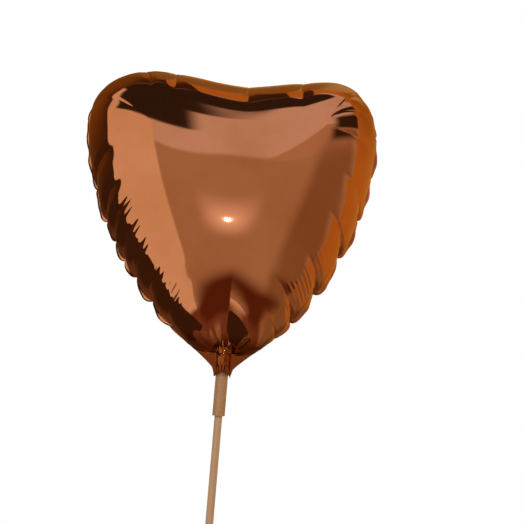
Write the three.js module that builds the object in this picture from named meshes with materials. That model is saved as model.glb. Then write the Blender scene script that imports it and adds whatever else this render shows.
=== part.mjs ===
// Heart-shaped foil balloon on a push-fit stick.
// Millimetres, +Z up along the stick, -Y is the front of the heart.
// The origin is the centre of the stick's lower end.

import * as THREE from 'three';

// ---------------------------------------------------------------- driving dimensions

const STICK_LENGTH = 300;
const STICK_RADIUS = 2.5;
const STICK_BORE_RADIUS = 2.0;
const STICK_CHAMFER = 0.2;
const STICK_SIDES = 24;

const SLEEVE_RADIUS = 4.0;
const SLEEVE_BORE_RADIUS = 2.8;
const STICK_INSERTION = 30; // how far the stick is pushed into the sleeve
const SLEEVE_LENGTH = 39;
const SLEEVE_CHAMFER = 0.5;
const SLEEVE_SIDES = 32;

const MOUTH_ABOVE_SLEEVE_END = 24.5; // bare sleeve below the open end of the tail
const TAIL_LENGTH = 17; // from the mouth of the tail to the line where the neck bends
const BODY_ABOVE_TAIL = 2; // the bend line and the room it needs

const FILM = 0.5; // the real film is 0.03 mm thick; it is thickened here to make a solid
const GAP = 0.3; // left between pieces that touch
const FLANGE_WIDTH = 2.8; // the flat heat-sealed edge round the heart
const FLANGE_STARTS = 2; // heights above the bottom of the heart between which it widens
const FLANGE_FULL = 16;
const HALF_DEPTH = 50; // the inflated heart, from the seal plane to the front

const GATHERED_HALF_WIDTH = 5.2; // the tail where it hugs the sleeve
const FUNNEL_HALF_WIDTH = 21; // the tail where it meets the body
const FUNNEL_ABOVE_MOUTH = 8; // where the tail begins to spread

const VALVE_WIDTH = 24;
const VALVE_LENGTH = 52;
const VALVE_ABOVE_BODY = 7;
const VALVE_NECK_WIDTH = 14;
const VALVE_NECK_LENGTH = 12;

// ---------------------------------------------------------------- heights worked out from them

const SLEEVE_BOTTOM = STICK_LENGTH - STICK_INSERTION;
const MOUTH = SLEEVE_BOTTOM + MOUTH_ABOVE_SLEEVE_END;
const TAIL_TOP = MOUTH + TAIL_LENGTH;
const BODY_BOTTOM = TAIL_TOP + BODY_ABOVE_TAIL;

// ---------------------------------------------------------------- heart outline

// Right half of the heat seal, from the notch round the lobe to the middle of the bottom.
// x is across the heart, y is height above the bottom of the inflated body.
const HEART_TOP = 177.3;
const HEART_NOTCH = 170;
const HEART_HALF_WIDTH = 93.6;
const WIDEST_AT = 137.8;
const LOBE_AT = 54.2;
const HIP = new THREE.Vector2(23.1, 0.5); // where the side turns into the bottom
const HEART_CENTRE = new THREE.Vector2(0, 98); // the fullest point of the heart

const OUTLINE_STEPS_PER_CURVE = [6, 7, 14, 5];
const DOME_RINGS = 9;

function heartHalf() {
  const path = new THREE.Path();
  path.moveTo(0, HEART_NOTCH);
  path.bezierCurveTo(16, HEART_NOTCH, LOBE_AT - 25, HEART_TOP, LOBE_AT, HEART_TOP);
  path.bezierCurveTo(
    LOBE_AT + 20, HEART_TOP, HEART_HALF_WIDTH, WIDEST_AT + 25, HEART_HALF_WIDTH, WIDEST_AT
  );
  path.bezierCurveTo(HEART_HALF_WIDTH, WIDEST_AT - 55, 54.3, 27.8, HIP.x, HIP.y);
  path.bezierCurveTo(15, 0.1, 8, 0, 0, 0);
  return path.curves.flatMap((curve, i) =>
    curve.getSpacedPoints(OUTLINE_STEPS_PER_CURVE[i]).slice(0, -1)
  );
}

// The whole seal line, anticlockwise seen from the front, starting at the notch.
function heartOutline() {
  const right = heartHalf();
  const left = right.map((p) => new THREE.Vector2(-p.x, p.y));
  return [...left, new THREE.Vector2(0, 0), ...right.slice(1).reverse()];
}

function outwardNormals(outline) {
  const count = outline.length;
  return outline.map((point, i) => {
    const before = outline[(i + count - 1) % count];
    const after = outline[(i + 1) % count];
    const along = after.clone().sub(before).normalize();
    return new THREE.Vector2(along.y, -along.x);
  });
}

// The flange narrows to nothing along the bottom, where the tail takes its place.
function flangeWidthAt(height) {
  return FLANGE_WIDTH * THREE.MathUtils.smoothstep(height, FLANGE_STARTS, FLANGE_FULL);
}

// An inflated film from its centre (0) to its seal (1): flat in the middle, round at the edge.
function inflatedProfile(share) {
  return Math.sqrt(Math.max(0, 1 - share ** 3));
}

// ---------------------------------------------------------------- mesh helpers

function meshFromTriangles(points, triangles) {
  const geometry = new THREE.BufferGeometry().setFromPoints(points);
  geometry.setIndex(triangles);
  return geometry;
}

// Two triangles for each pair of neighbours on two rings of points.
function joinRings(triangles, startA, startB, count) {
  for (let i = 0; i < count; i += 1) {
    const next = (i + 1) % count;
    triangles.push(startA + i, startB + i, startB + next);
    triangles.push(startA + i, startB + next, startA + next);
  }
}

// A round tube standing on z = 0, with a small chamfer round its outer edges.
function tubeGeometry(outerRadius, innerRadius, height, chamfer, segments) {
  const profile = [
    [innerRadius, 0],
    [outerRadius - chamfer, 0],
    [outerRadius, chamfer],
    [outerRadius, height - chamfer],
    [outerRadius - chamfer, height],
    [innerRadius, height],
    [innerRadius, 0],
  ].map(([x, y]) => new THREE.Vector2(x, y));
  return new THREE.LatheGeometry(profile, segments).rotateX(Math.PI / 2);
}

// ---------------------------------------------------------------- pieces

// One foil panel: a dome with a flat flange, open towards the other panel.
function foilPanelGeometry() {
  const seal = heartOutline();
  const normals = outwardNormals(seal);
  const count = seal.length;
  const points = [];
  const triangles = [];
  const lift = (x, height, depth) => new THREE.Vector3(x, -depth, height);
  const plane = GAP / 2;

  const domeRing = (share, inset, depthOffset) => {
    const start = points.length;
    const depth = plane + depthOffset + (HALF_DEPTH - FILM) * inflatedProfile(share);
    seal.forEach((point, i) => {
      const edge = point.clone().addScaledVector(normals[i], -inset);
      const at = HEART_CENTRE.clone().lerp(edge, share);
      points.push(lift(at.x, at.y, depth));
    });
    return start;
  };
  const flangeRing = (depth) => {
    const start = points.length;
    seal.forEach((point, i) => {
      const at = point.clone().addScaledVector(normals[i], flangeWidthAt(point.y));
      points.push(lift(at.x, at.y, depth));
    });
    return start;
  };
  const shares = Array.from({ length: DOME_RINGS }, (_, i) =>
    Math.sin(((i + 1) / DOME_RINGS) * (Math.PI / 2))
  );

  // Outside of the dome, from its centre to the seal.
  const outerPole = points.push(lift(HEART_CENTRE.x, HEART_CENTRE.y, plane + HALF_DEPTH)) - 1;
  const outer = shares.map((share) => domeRing(share, 0, FILM));
  for (let i = 0; i < count; i += 1) {
    triangles.push(outerPole, outer[0] + i, outer[0] + ((i + 1) % count));
  }
  outer.slice(1).forEach((ring, i) => joinRings(triangles, outer[i], ring, count));

  // Flange, front face, edge and back face.
  const flangeFront = flangeRing(plane + FILM);
  const flangeBack = flangeRing(plane);
  joinRings(triangles, outer.at(-1), flangeFront, count);
  joinRings(triangles, flangeFront, flangeBack, count);

  // Inside of the dome, from the seal back to its centre.
  const inner = shares.map((share) => domeRing(share, FILM, 0)).reverse();
  joinRings(triangles, flangeBack, inner[0], count);
  inner.slice(1).forEach((ring, i) => joinRings(triangles, inner[i], ring, count));
  const innerPole =
    points.push(lift(HEART_CENTRE.x, HEART_CENTRE.y, plane + HALF_DEPTH - FILM)) - 1;
  for (let i = 0; i < count; i += 1) {
    triangles.push(inner.at(-1) + i, innerPole, inner.at(-1) + ((i + 1) % count));
  }
  return meshFromTriangles(points, triangles);
}

// Half width of the tail at a height above its mouth: gathered below, a funnel of flat webs above.
function tailHalfWidth(height) {
  const spread = (height - FUNNEL_ABOVE_MOUTH) / (TAIL_LENGTH - FUNNEL_ABOVE_MOUTH);
  return THREE.MathUtils.lerp(
    GATHERED_HALF_WIDTH, FUNNEL_HALF_WIDTH, THREE.MathUtils.clamp(spread, 0, 1)
  );
}

// One ply of the tail: half a tube round the sleeve, with a flat web to either side.
function tailPlyGeometry() {
  const levels = [0, FUNNEL_ABOVE_MOUTH, TAIL_LENGTH];
  const arcSteps = 12;
  const inner = SLEEVE_RADIUS + GAP;
  const plane = GAP / 2;
  const section = (height) => {
    const half = tailHalfWidth(height);
    const arc = (radius, depthAtEnd) => {
      const from = Math.asin(depthAtEnd / radius);
      return Array.from({ length: arcSteps + 1 }, (_, i) => {
        const angle = from + (i / arcSteps) * (Math.PI - 2 * from);
        return [-radius * Math.cos(angle), radius * Math.sin(angle)];
      });
    };
    const back = [[-half, plane], ...arc(inner, plane), [half, plane]];
    const front = [[-half, plane + FILM], ...arc(inner + FILM, plane + FILM), [half, plane + FILM]];
    return [...back, ...front.reverse()];
  };
  const points = [];
  const triangles = [];
  const rings = levels.map((height) => {
    const start = points.length;
    section(height).forEach(([x, depth]) => points.push(new THREE.Vector3(x, -depth, height)));
    return start;
  });
  const count = points.length / levels.length;
  rings.slice(1).forEach((ring, i) => joinRings(triangles, rings[i], ring, count));
  // The two ends: strips between the back and front lines of the section.
  const [bottom, top] = [rings[0], rings.at(-1)];
  for (let i = 0; i < count / 2 - 1; i += 1) {
    const [a, b, c, d] = [i, i + 1, count - 2 - i, count - 1 - i];
    triangles.push(bottom + a, bottom + b, bottom + c, bottom + a, bottom + c, bottom + d);
    triangles.push(top + a, top + c, top + b, top + a, top + d, top + c);
  }
  return meshFromTriangles(points, triangles);
}

// One ply of the flat filling valve inside the balloon: a strip with a narrower lower end.
function valvePlyGeometry() {
  const half = VALVE_WIDTH / 2;
  const neck = VALVE_NECK_WIDTH / 2;
  const shape = new THREE.Shape([
    new THREE.Vector2(-neck, 0),
    new THREE.Vector2(neck, 0),
    new THREE.Vector2(half, VALVE_NECK_LENGTH),
    new THREE.Vector2(half, VALVE_LENGTH),
    new THREE.Vector2(-half, VALVE_LENGTH),
    new THREE.Vector2(-half, VALVE_NECK_LENGTH),
  ]);
  return new THREE.ExtrudeGeometry(shape, { depth: FILM, bevelEnabled: false })
    .rotateX(Math.PI / 2)
    .translate(0, -GAP / 2, 0);
}

// ---------------------------------------------------------------- materials

function finish(color, roughness, metalness, opacity = 1) {
  return new THREE.MeshStandardMaterial({
    color, roughness, metalness, opacity, transparent: opacity < 1,
  });
}

const foil = finish(0xb8734f, 0.08, 1);
const valveFilm = finish(0xd9d3c8, 0.4, 0, 0.6);
const stickPlastic = finish(0xb08a5e, 0.5, 0);
const sleevePlastic = finish(0xa88458, 0.35, 0);

function piece(name, geometry, material, height = 0) {
  const mesh = new THREE.Mesh(geometry, material);
  mesh.name = name;
  mesh.position.z = height;
  return mesh;
}

// The back of the heart is the front turned half a turn about the stick.
function backOf(mesh) {
  mesh.rotation.z = Math.PI;
  return mesh;
}

// ---------------------------------------------------------------- assembly

const stickBody = new THREE.Group();
stickBody.add(
  piece(
    'stick',
    tubeGeometry(STICK_RADIUS, STICK_BORE_RADIUS, STICK_LENGTH, STICK_CHAMFER, STICK_SIDES),
    stickPlastic
  )
);

const sleeveBody = new THREE.Group();
sleeveBody.add(
  piece(
    'sleeve',
    tubeGeometry(SLEEVE_RADIUS, SLEEVE_BORE_RADIUS, SLEEVE_LENGTH, SLEEVE_CHAMFER, SLEEVE_SIDES),
    sleevePlastic,
    SLEEVE_BOTTOM
  )
);

const tailBody = new THREE.Group();
tailBody.add(
  piece('front_tail', tailPlyGeometry(), foil, MOUTH),
  backOf(piece('back_tail', tailPlyGeometry(), foil, MOUTH))
);

const valveHeight = BODY_BOTTOM + VALVE_ABOVE_BODY;
const balloonBody = new THREE.Group();
balloonBody.add(
  piece('front_foil', foilPanelGeometry(), foil, BODY_BOTTOM),
  backOf(piece('back_foil', foilPanelGeometry(), foil, BODY_BOTTOM)),
  piece('valve_front_film', valvePlyGeometry(), valveFilm, valveHeight),
  backOf(piece('valve_back_film', valvePlyGeometry(), valveFilm, valveHeight))
);

const balloonOnStick = new THREE.Group();
balloonOnStick.add(stickBody, sleeveBody, tailBody, balloonBody);

export default balloonOnStick;
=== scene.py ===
"""Looks of a heart-shaped foil balloon on a push-fit stick.

Two heat-sealed films of rose gold metallised film, each one piece from the heart down through
the gathered tail, a translucent sleeve, a tube stick and the clear filling valve inside.
Metres in the scene, millimetres inside the classes. +Z runs up the stick and -Y is the front.
"""

import logging
import math
from dataclasses import dataclass, field
from enum import Enum

import bpy
import numpy as np
from mathutils import Matrix, Vector


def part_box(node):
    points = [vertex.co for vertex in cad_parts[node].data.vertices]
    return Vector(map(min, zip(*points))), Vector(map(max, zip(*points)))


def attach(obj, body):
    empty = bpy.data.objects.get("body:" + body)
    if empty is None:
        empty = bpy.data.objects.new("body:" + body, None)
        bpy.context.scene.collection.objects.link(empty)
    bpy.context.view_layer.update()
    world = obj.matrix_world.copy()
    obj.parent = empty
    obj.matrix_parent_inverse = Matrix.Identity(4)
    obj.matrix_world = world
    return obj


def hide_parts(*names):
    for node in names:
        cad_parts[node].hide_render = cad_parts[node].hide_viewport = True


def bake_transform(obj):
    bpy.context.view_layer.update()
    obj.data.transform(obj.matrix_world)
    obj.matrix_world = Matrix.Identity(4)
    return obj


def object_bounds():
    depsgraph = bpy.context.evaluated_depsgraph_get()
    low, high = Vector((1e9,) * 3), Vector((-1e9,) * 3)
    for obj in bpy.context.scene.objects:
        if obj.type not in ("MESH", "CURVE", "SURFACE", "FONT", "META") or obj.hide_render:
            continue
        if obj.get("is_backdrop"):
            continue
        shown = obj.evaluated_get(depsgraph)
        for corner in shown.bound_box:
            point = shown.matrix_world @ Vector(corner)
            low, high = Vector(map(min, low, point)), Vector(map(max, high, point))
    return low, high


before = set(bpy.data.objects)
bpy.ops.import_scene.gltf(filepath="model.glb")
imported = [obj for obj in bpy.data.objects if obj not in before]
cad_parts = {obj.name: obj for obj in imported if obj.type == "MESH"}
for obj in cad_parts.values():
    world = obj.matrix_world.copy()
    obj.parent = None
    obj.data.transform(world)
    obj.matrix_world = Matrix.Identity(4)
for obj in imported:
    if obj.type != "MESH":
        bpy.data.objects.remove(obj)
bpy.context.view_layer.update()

MM = 0.001
FLANGE_WIDTH = 2.8  # the flat heat-sealed edge round the heart
SLACK_AND_SHADE = "slack"  # the mesh attribute, from 0 to 1, that marks the slack film in the tail: it dulls the film there and darkens it with painted shade
LOG = logging.getLogger("balloon")


class Side(Enum):
    """Which of the two films; the value is the sign of its depth axis."""

    FRONT = -1.0
    BACK = 1.0


# ------------------------------------------------------------------ small helpers


def smooth(x: np.ndarray | float, low: float, high: float) -> np.ndarray | float:
    """Runs smoothly from 0 at low to 1 at high; 1 - smooth() runs the other way."""
    t = np.clip((np.asarray(x, float) - low) / (high - low), 0.0, 1.0)
    return t * t * (3.0 - 2.0 * t)


def linear(hex_colour: str) -> tuple[float, float, float, float]:
    """Turns an sRGB hex colour into linear RGBA.

    Args:
        hex_colour: such as "#C07A52".

    Returns:
        The linear red, green and blue, and an alpha of 1.
    """
    channels = [int(hex_colour[i : i + 2], 16) / 255 for i in (1, 3, 5)]
    lin = [c / 12.92 if c <= 0.04045 else ((c + 0.055) / 1.055) ** 2.4 for c in channels]
    return (*lin, 1.0)


def add_node(
    tree: bpy.types.NodeTree, kind: str, links: dict | None = None, **settings: object
) -> bpy.types.Node:
    """Adds one node with its settings and its incoming links.

    Args:
        tree: the node tree.
        kind: the node's type without its "ShaderNode" prefix.
        links: input name or index to the output socket that feeds it.
        **settings: node properties, or inputs given as in_Name (or in_0 for an index).

    Returns:
        The new node.
    """
    node = tree.nodes.new("ShaderNode" + kind)
    for key, value in settings.items():
        if key.startswith("in_"):
            name = key[3:]
            node.inputs[int(name) if name.isdigit() else name.replace("_", " ")].default_value = value
        else:
            setattr(node, key, value)
    for name, socket in (links or {}).items():
        tree.links.new(socket, node.inputs[name])
    return node


def ramp(node: bpy.types.Node, *stops: tuple[float, str]) -> None:
    """Sets a colour ramp's stops.

    Args:
        node: the colour ramp.
        *stops: each a position and an sRGB hex colour.
    """
    elements = node.color_ramp.elements
    while len(elements) < len(stops):
        elements.new(0.5)
    for element, (position, colour) in zip(elements, stops):
        element.position = position
        element.color = linear(colour)


def new_material(name: str) -> tuple[bpy.types.Material, bpy.types.NodeTree, bpy.types.Node]:
    """Starts a material with a principled shader.

    Args:
        name: what the real material is and how its surface was made.

    Returns:
        The material, its nodes and its shader.
    """
    material = bpy.data.materials.new(name)
    material.use_nodes = True
    return material, material.node_tree, material.node_tree.nodes["Principled BSDF"]


def mesh_object(
    name: str, points_mm: np.ndarray, faces: list, material: bpy.types.Material
) -> bpy.types.Object:
    """Makes a smooth-shaded mesh object from points in millimetres.

    Args:
        name: the object's name.
        points_mm: the vertices, one row each.
        faces: vertex numbers of each face, anticlockwise from outside.
        material: its material.

    Returns:
        The object, linked to the scene.
    """
    mesh = bpy.data.meshes.new(name)
    mesh.from_pydata((points_mm * MM).tolist(), [], faces)
    mesh.update()
    mesh.polygons.foreach_set("use_smooth", [True] * len(mesh.polygons))
    mesh.materials.append(material)
    obj = bpy.data.objects.new(name, mesh)
    bpy.context.scene.collection.objects.link(obj)
    return obj


def vertex_normals(points: np.ndarray, faces: list) -> np.ndarray:
    """Area-weighted normals of a mesh's vertices.

    Args:
        points: the vertices, one row each.
        faces: vertex numbers of each face.

    Returns:
        A unit normal for each vertex.
    """
    mesh = bpy.data.meshes.new("measure")
    mesh.from_pydata(points.tolist(), [], faces)
    mesh.update()
    normals = np.zeros(len(points) * 3, np.float32)
    mesh.vertex_normals.foreach_get("vector", normals)
    bpy.data.meshes.remove(mesh)
    return normals.reshape(-1, 3).astype(float)


def wander(at: np.ndarray, length: float, pitch: float, rng: np.random.Generator) -> np.ndarray:
    """A smooth random wave that closes on itself.

    Args:
        at: places along the closed line, in millimetres.
        length: the line's whole length.
        pitch: the usual distance from one crest to the next.
        rng: where the phases come from.

    Returns:
        Values that lie mostly within -1 and 1.
    """
    middle = length / pitch
    total = np.zeros_like(at, dtype=float)
    for share in (0.55, 0.8, 1.0, 1.3, 1.7):
        turns = max(1, round(middle * share))
        total += np.sin(2 * np.pi * turns * at / length + rng.uniform(0, 2 * np.pi))
    return total / 2.4


# ------------------------------------------------------------------ finishes


@dataclass(frozen=True)
class MetallisedFilm:
    """Rose gold BOPET film, vacuum metallised and lacquered: a clean mirror with a copper tint.

    The film is drawn over rollers, which leaves a faint waviness, and handling leaves
    a slight haze in patches. Where it is slack in the tail it is creased and duller, and painted shade
    darkens it there.
    """


    tint: str = "#DFA07C"
    tint_in_haze: str = "#D6946E"
    roughness: float = 0.035
    haze_roughness: float = 0.075
    haze_mm: float = 34.0
    # painted shade: a darker colour given to the slack film in the tail, in place of the shade that falls
    # there
    painted_tail_shade_colour: str = "#98582F"
    slack_roughness: float = 0.11
    waviness_mm: float = 16.0
    waviness_depth_mm: float = 0.012

    def make(self) -> bpy.types.Material:
        """Builds the material from its nodes.

        Returns:
            The material.
        """
        material, tree, shader = new_material("metallised_bopet_film_rose_gold")
        shader.inputs["Metallic"].default_value = 1.0
        place = add_node(tree, "TexCoord")
        haze = add_node(
            tree, "TexNoise", {"Vector": place.outputs["Object"]},
            in_Scale=1 / (self.haze_mm * MM), in_Detail=3.0, in_Roughness=0.55,
        )
        tint = add_node(tree, "ValToRGB", {"Fac": haze.outputs["Fac"]})
        ramp(tint, (0.35, self.tint), (0.7, self.tint_in_haze))
        rough = add_node(
            tree, "MapRange", {"Value": haze.outputs["Fac"]},
            in_1=0.35, in_2=0.7, in_3=self.roughness, in_4=self.haze_roughness,
        )
        wave = add_node(
            tree, "TexNoise", {"Vector": place.outputs["Object"]},
            in_Scale=1 / (self.waviness_mm * MM), in_Detail=1.0,
        )
        bump = add_node(
            tree, "Bump", {"Height": wave.outputs["Fac"]},
            in_Strength=1.0, in_Distance=self.waviness_depth_mm * MM,
        )
        slack = add_node(tree, "Attribute", attribute_name=SLACK_AND_SHADE)
        painted_tail_shade = add_node(
            # painted shade: the tint darkens where the film is slack in the tail
            tree, "Mix", {0: slack.outputs["Fac"], 6: tint.outputs["Color"]},
            data_type="RGBA", in_7=linear(self.painted_tail_shade_colour),
        )
        dull = add_node(
            tree, "Mix", {0: slack.outputs["Fac"], 2: rough.outputs["Result"]},
            in_3=self.slack_roughness,
        )
        tree.links.new(painted_tail_shade.outputs[2], shader.inputs["Base Color"])
        tree.links.new(dull.outputs[0], shader.inputs["Roughness"])
        tree.links.new(bump.outputs["Normal"], shader.inputs["Normal"])
        return material


@dataclass(frozen=True)
class ExtrudedTube:
    """Polypropylene tube, extruded: satin, with faint streaks along its length."""

    name: str
    colour: str
    streak_colour: str
    roughness: float
    streak_mm: float
    streak_run_mm: float = 90.0
    streak_depth_mm: float = 0.03
    scatter_mm: float = 0.6
    transmission: float = 0.0
    subsurface: float = 0.0

    def make(self) -> bpy.types.Material:
        """Builds the material from its nodes.

        Returns:
            The material.
        """
        material, tree, shader = new_material(self.name)
        shader.inputs["IOR"].default_value = 1.49
        shader.inputs["Transmission Weight"].default_value = self.transmission
        shader.inputs["Subsurface Weight"].default_value = self.subsurface
        shader.inputs["Subsurface Scale"].default_value = self.scatter_mm * MM
        place = add_node(tree, "TexCoord")
        stretch = add_node(
            tree, "Mapping", {"Vector": place.outputs["Object"]},
            in_Scale=[1 / (mm * MM) for mm in (self.streak_mm, self.streak_mm, self.streak_run_mm)],
        )
        streaks = add_node(
            tree, "TexNoise", {"Vector": stretch.outputs["Vector"]}, in_Scale=1.0, in_Detail=3.0,
        )
        colour = add_node(tree, "ValToRGB", {"Fac": streaks.outputs["Fac"]})
        ramp(colour, (0.35, self.colour), (0.7, self.streak_colour))
        rough = add_node(
            tree, "MapRange", {"Value": streaks.outputs["Fac"]},
            in_1=0.3, in_2=0.7, in_3=self.roughness, in_4=self.roughness + 0.12,
        )
        bump = add_node(
            tree, "Bump", {"Height": streaks.outputs["Fac"]},
            in_Strength=0.5, in_Distance=self.streak_depth_mm * MM,
        )
        tree.links.new(colour.outputs["Color"], shader.inputs["Base Color"])
        tree.links.new(rough.outputs["Result"], shader.inputs["Roughness"])
        tree.links.new(bump.outputs["Normal"], shader.inputs["Normal"])
        return material


@dataclass(frozen=True)
class ValveFilm:
    """Cast polyethylene film: thin, cloudy and soft-looking."""

    colour: str = "#DCD6CB"
    cloud_colour: str = "#EFEBE2"
    roughness: float = 0.42
    cloud_mm: float = 9.0

    def make(self) -> bpy.types.Material:
        """Builds the material from its nodes.

        Returns:
            The material.
        """
        material, tree, shader = new_material("cast_polyethylene_valve_film")
        shader.inputs["IOR"].default_value = 1.51
        shader.inputs["Transmission Weight"].default_value = 0.5
        place = add_node(tree, "TexCoord")
        cloud = add_node(
            tree, "TexNoise", {"Vector": place.outputs["Object"]},
            in_Scale=1 / (self.cloud_mm * MM),
        )
        colour = add_node(tree, "ValToRGB", {"Fac": cloud.outputs["Fac"]})
        ramp(colour, (0.3, self.colour), (0.7, self.cloud_colour))
        rough = add_node(
            tree, "MapRange", {"Value": cloud.outputs["Fac"]},
            in_3=self.roughness, in_4=self.roughness + 0.2,
        )
        tree.links.new(colour.outputs["Color"], shader.inputs["Base Color"])
        tree.links.new(rough.outputs["Result"], shader.inputs["Roughness"])
        return material


@dataclass(frozen=True)
class StudioFloor:
    """White painted board: matt, with no gleam."""

    colour: str = "#F2F0EC"

    def make(self) -> bpy.types.Material:
        """Builds the material.

        Returns:
            The material.
        """
        material, _, shader = new_material("matt_white_painted_board")
        shader.inputs["Base Color"].default_value = linear(self.colour)
        shader.inputs["Roughness"].default_value = 0.9
        return material


# ------------------------------------------------------------------ shape of an inflated film


class FilledProfile:
    """Profile of two flat discs of film sealed at the edge and filled, for a filled radius of 1.

    The film doesn't stretch, so the profile is the curve whose slope is share^2 / sqrt(1 - share^4).
    """

    def __init__(self, steps: int = 4000) -> None:
        """Tabulates the profile with share^2 = sin(turn), which removes the pole at the edge.

        Args:
            steps: entries in the table.
        """
        turn = np.linspace(1e-6, math.pi / 2, steps)
        root = np.sqrt(np.sin(turn))
        self.share = root
        step = turn[1] - turn[0]
        height_slices = 0.5 * step * (root[1:] + root[:-1]) / 2
        length_slices = 0.5 * step * (1 / root[1:] + 1 / root[:-1]) / 2
        self.height = np.concatenate([np.cumsum(height_slices[::-1])[::-1], [0.0]])
        self.from_edge = np.concatenate([np.cumsum(length_slices[::-1])[::-1], [0.0]])

    def height_at(self, share: np.ndarray) -> np.ndarray:
        """Height of the film over the seal plane at a share of the radius."""
        return np.interp(share, self.share, self.height)

    def edge_distance_at(self, share: np.ndarray) -> np.ndarray:
        """Distance along the film from the seal to a share of the radius."""
        return np.interp(share, self.share, self.from_edge)

    def share_at(self, edge_distance: np.ndarray) -> np.ndarray:
        """Share of the radius that lies a distance along the film from the seal."""
        return np.interp(edge_distance, self.from_edge[::-1], self.share[::-1])


@dataclass
class HeartOutline:
    """Seal line of the filled heart, in millimetres from the middle of its lower end.

    Attributes:
        half_width: half its width.
        height: from its lower end to the tops of the lobes.
        centre_share: height of its fullest point, as a share of the height.
        corner_reach: how far round a lobe's corner the line is pushed out.
        right_corner: the corner's place as shares of half width and height, and the push.
        left_corner: the same on the left.
    """

    half_width: float
    height: float
    centre_share: float = 0.553
    corner_reach: float = 30.0
    right_corner: tuple[float, float, float] = (0.74, 0.99, 5.2)
    left_corner: tuple[float, float, float] = (-0.99, 0.83, 3.2)

    def right_half(self) -> np.ndarray:
        """Draws the right half, from the bottom round the hip, side and lobe to the notch.

        The middle of the bottom hangs a little below the hips, where the tail begins.

        Returns:
            Rows of x and height.
        """
        scale = np.array([self.half_width, self.height])
        curves = (
            ((0.0, -0.022), (0.085, -0.022), (0.16, -0.016), (0.247, 0.0028)),
            ((0.247, 0.0028), (0.58, 0.157), (1.0, 0.467), (1.0, 0.777)),
            ((1.0, 0.777), (1.0, 0.918), (0.793, 1.0), (0.579, 1.0)),
            ((0.579, 1.0), (0.312, 1.0), (0.171, 0.972), (0.0, 0.972)),
        )
        t = np.linspace(0, 1, 400)[:, None]
        parts = []
        for a, b, c, d in (np.array(curve) for curve in curves):
            start, end = (1 - t) ** 3 * a, t**3 * d
            parts.append(start + 3 * (1 - t) ** 2 * t * b + 3 * (1 - t) * t * t * c + end)
        return np.concatenate(parts) * scale

    def fill_out(self, line: np.ndarray) -> np.ndarray:
        """Pushes the line out where the lobes fill beyond an even heart, one more than the other.

        Args:
            line: rows of x and height.

        Returns:
            The pushed rows.
        """
        scale = np.array([self.half_width, self.height])
        pushed = line.copy()
        for x_share, height_share, push in (self.right_corner, self.left_corner):
            corner = np.array([x_share, height_share]) * scale
            near = np.exp(-np.sum((line - corner) ** 2, axis=1) / self.corner_reach**2)
            way = (corner - self.centre) / np.linalg.norm(corner - self.centre)
            pushed += push * near[:, None] * way
        return pushed

    def sample(self, count: int) -> np.ndarray:
        """Evenly spaced points round the whole line.

        Args:
            count: how many points.

        Returns:
            Rows of x and height, anticlockwise from the front, starting at the bottom.
        """
        right = self.right_half()
        left = right[::-1] * np.array([-1.0, 1.0])
        line = self.fill_out(np.concatenate([right, left]))
        steps = np.linalg.norm(np.diff(line, axis=0), axis=1)
        along = np.concatenate([[0.0], np.cumsum(steps)])
        at = np.arange(count) / count * along[-1]
        return np.stack([np.interp(at, along, line[:, k]) for k in (0, 1)], axis=1)

    @property
    def centre(self) -> np.ndarray:
        """The fullest point of the heart."""
        return np.array([0.0, self.centre_share * self.height])


def fullness(points: np.ndarray, outline: np.ndarray) -> tuple[np.ndarray, np.ndarray]:
    """How far the film can rise over each point, and the place on the seal nearest to it.

    The room at a point is found from its distances to the seal in every direction. It equals
    the distance to the seal close to it, and grows round and smooth towards the middle.

    Args:
        points: rows of x and height, inside the seal.
        outline: the seal line, evenly spaced.

    Returns:
        The room in millimetres, and the nearest place as a distance along the line.
    """
    wide = 0.25  # radians; a narrower edge is far off, where the exact form would lose digits
    following = np.roll(outline, -1, axis=0)
    edge = following - outline
    edge_length = np.linalg.norm(edge, axis=1)
    edge_way = edge / edge_length[:, None]
    spacing = edge_length.mean()
    room = np.empty(len(points))
    nearest = np.empty(len(points))
    for rows in np.array_split(np.arange(len(points)), max(1, len(points) // 1500)):
        a = outline[None] - points[rows][:, None]
        b = np.roll(a, -1, axis=1)
        a_length = np.hypot(a[..., 0], a[..., 1]) + 1e-12
        b_length = np.roll(a_length, -1, axis=1)
        cross = a[..., 0] * b[..., 1] - a[..., 1] * b[..., 0]
        angle = np.arctan2(cross, a[..., 0] * b[..., 0] + a[..., 1] * b[..., 1])
        off = np.abs(cross) / edge_length + 1e-12
        a_along = (a * edge_way).sum(-1)
        b_along = (b * edge_way).sum(-1)
        near = (np.abs(angle) + off * (b_along / b_length**2 - a_along / a_length**2)) / (2 * off**2)
        far = np.abs(angle) / (a_length * b_length)
        total = np.where(np.abs(angle) > wide, near, far).sum(axis=1)
        room[rows] = np.sqrt(math.pi / 2 / total)
        closest = a_length.argmin(axis=1)
        here = np.arange(len(rows))
        slip = -(a[here, closest] * edge_way[closest]).sum(-1)
        nearest[rows] = closest * spacing + np.clip(slip, -spacing / 2, spacing / 2)
    return room, nearest


# ------------------------------------------------------------------ puckers


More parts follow.
